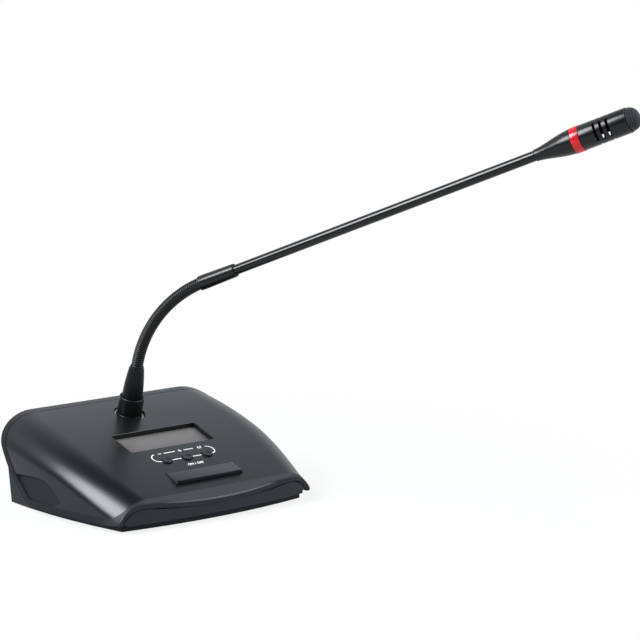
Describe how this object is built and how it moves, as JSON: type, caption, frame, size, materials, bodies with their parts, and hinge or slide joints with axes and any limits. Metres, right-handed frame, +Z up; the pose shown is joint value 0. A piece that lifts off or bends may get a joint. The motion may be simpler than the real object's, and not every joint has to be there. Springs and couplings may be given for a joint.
{
  "type": "conference delegate unit",
  "caption": "Wedge-shaped desk base with a display, buttons, a wide key and a plug-in gooseneck microphone with a red light ring.",
  "frame": {"origin": "on the table under the middle of the base, below the point half way between the sides", "axes": "+Z up; the unit faces -Y, so its front lip is at -Y and the microphone socket behind the display is at +Y; +X is to the right of a person seated in front of it"},
  "size_m": [0.2905, 0.3847, 0.3064],
  "materials": {
    "cover_abs": "fine spark-eroded charcoal grey",
    "case_abs": "fine-grained dark charcoal",
    "fascia_abs": "fine-grained dark charcoal",
    "key_abs": "satin charcoal",
    "foot_rubber": "matt black",
    "boot_rubber": "satin black",
    "collar_black": "satin black",
    "neck_black_steel": "satin black ribbed hose",
    "tube_black_paint": "gloss black",
    "head_black_paint": "satin black coating",
    "ring_red_lens": "translucent red",
    "windscreen_mesh": "black woven mesh",
    "nickel_plate": "nickel plate",
    "zinc_steel": "zinc plated",
    "window_acrylic": "clear with grey display behind",
    "lcd_glass": "grey display",
    "board_green": "green solder mask",
    "switch_plastic": "black",
    "cell_wrap": "blue film over a metal can",
    "capsule_can": "bare"
  },
  "bodies": {
    "base": {"top_cover": "cover_abs", "lower_case": "case_abs", "front_fascia": "fascia_abs", "rubber_foot_1": "foot_rubber", "rubber_foot_2": "foot_rubber", "rubber_foot_3": "foot_rubber", "rubber_foot_4": "foot_rubber", "case_screw_1": "zinc_steel", "case_screw_2": "zinc_steel", "case_screw_3": "zinc_steel", "case_screw_4": "zinc_steel", "ballast_plate": "zinc_steel", "battery_box": "switch_plastic", "battery_cell_1": "cell_wrap", "battery_cell_2": "cell_wrap", "battery_contact_1": "nickel_plate", "battery_contact_2": "nickel_plate", "main_board": "board_green", "radio_can": "nickel_plate", "antenna_strip": "board_green", "lcd_window": "window_acrylic", "lcd_module": "lcd_glass", "key_board": "board_green", "volume_down_switch": "switch_plastic", "volume_up_switch": "switch_plastic", "mute_switch": "switch_plastic", "on_off_switch": "switch_plastic", "key_hinge_pin": "zinc_steel", "mic_socket": "nickel_plate", "socket_insert": "switch_plastic"},
    "mic_plug": {"plug_collar": "collar_black", "plug_insert": "switch_plastic", "contact_pin_1": "nickel_plate", "contact_pin_2": "nickel_plate", "contact_pin_3": "nickel_plate"},
    "neck_foot": {"boot": "boot_rubber", "neck_link_0": "neck_black_steel"},
    "neck_bend_1": {"neck_link_1": "neck_black_steel"},
    "neck_bend_2": {"neck_link_2": "neck_black_steel"},
    "neck_bend_3": {"neck_link_3": "neck_black_steel"},
    "neck_bend_4": {"neck_link_4": "neck_black_steel"},
    "neck_bend_5": {"neck_link_5": "neck_black_steel"},
    "arm": {"neck_link_6": "neck_black_steel", "ferrule": "tube_black_paint", "stem_tube": "tube_black_paint", "head_cone": "head_black_paint", "led_ring": "ring_red_lens", "led_board": "board_green", "head_body": "head_black_paint", "capsule_holder": "foot_rubber", "mic_capsule": "capsule_can", "windscreen": "windscreen_mesh"},
    "on_off_key": {"on_off_key": "key_abs"},
    "volume_down_button": {"volume_down_button": "key_abs"},
    "volume_up_button": {"volume_up_button": "key_abs"},
    "mute_button": {"mute_button": "key_abs"},
    "battery_door": {"battery_door": "case_abs"}
  },
  "joints": [
    {"name": "mic_unplug", "type": "slide", "parent": "base", "child": "mic_plug", "axis": [0, -0.2807, 0.9598], "range_m": [0, 0.022]},
    {"name": "neck_turn", "type": "hinge", "parent": "mic_plug", "child": "neck_foot", "pos_m": [0, 0.03191, 0.09837], "axis": [0, -0.2807, 0.9598], "range_deg": [-120, 120]},
    {"name": "neck_hinge_1", "type": "hinge", "parent": "neck_foot", "child": "neck_bend_1", "pos_m": [0.00019, 0.0293, 0.10635], "axis": [0.8251, 0.5423, 0.1586], "range_deg": [-8.9, 6]},
    {"name": "neck_hinge_2", "type": "hinge", "parent": "neck_bend_1", "child": "neck_bend_2", "pos_m": [0.00158, 0.02297, 0.12074], "axis": [0.8251, 0.5423, 0.1586], "range_deg": [-8.9, 6]},
    {"name": "neck_hinge_3", "type": "hinge", "parent": "neck_bend_2", "child": "neck_bend_3", "pos_m": [0.00433, 0.0149, 0.13403], "axis": [0.8251, 0.5423, 0.1586], "range_deg": [-8.9, 6]},
    {"name": "neck_hinge_4", "type": "hinge", "parent": "neck_bend_3", "child": "neck_bend_4", "pos_m": [0.00837, 0.00529, 0.14588], "axis": [0.8251, 0.5423, 0.1586], "range_deg": [-8.9, 6]},
    {"name": "neck_hinge_5", "type": "hinge", "parent": "neck_bend_4", "child": "neck_bend_5", "pos_m": [0.0136, -0.00564, 0.156], "axis": [0.8251, 0.5423, 0.1586], "range_deg": [-8.9, 6]},
    {"name": "neck_hinge_6", "type": "hinge", "parent": "neck_bend_5", "child": "arm", "pos_m": [0.0199, -0.0176, 0.16414], "axis": [0.8251, 0.5423, 0.1586], "range_deg": [-8.9, 6]},
    {"name": "on_off_press", "type": "hinge", "parent": "base", "child": "on_off_key", "pos_m": [0, -0.04597, 0.02755], "axis": [1, 0, 0], "range_deg": [0, 4.5], "stiffness_Nm_per_rad": 0.15, "springref_deg": -2.86},
    {"name": "volume_down_press", "type": "slide", "parent": "base", "child": "volume_down_button", "axis": [0, 0.359, -0.9333], "range_m": [0, 0.0006], "stiffness_N_per_m": 600, "springref_m": -0.0006},
    {"name": "volume_up_press", "type": "slide", "parent": "base", "child": "volume_up_button", "axis": [0, 0.359, -0.9333], "range_m": [0, 0.0006], "stiffness_N_per_m": 600, "springref_m": -0.0006},
    {"name": "mute_press", "type": "slide", "parent": "base", "child": "mute_button", "axis": [0, 0.359, -0.9333], "range_m": [0, 0.0006], "stiffness_N_per_m": 600, "springref_m": -0.0006},
    {"name": "battery_door_off", "type": "slide", "parent": "base", "child": "battery_door", "axis": [0, 0, -1], "range_m": [0, 0.02]}
  ],
  "couplings": [
    {"joint": "neck_hinge_2", "follows": "neck_hinge_1", "ratio": 1},
    {"joint": "neck_hinge_3", "follows": "neck_hinge_1", "ratio": 1},
    {"joint": "neck_hinge_4", "follows": "neck_hinge_1", "ratio": 1},
    {"joint": "neck_hinge_5", "follows": "neck_hinge_1", "ratio": 1},
    {"joint": "neck_hinge_6", "follows": "neck_hinge_1", "ratio": 1}
  ]
}
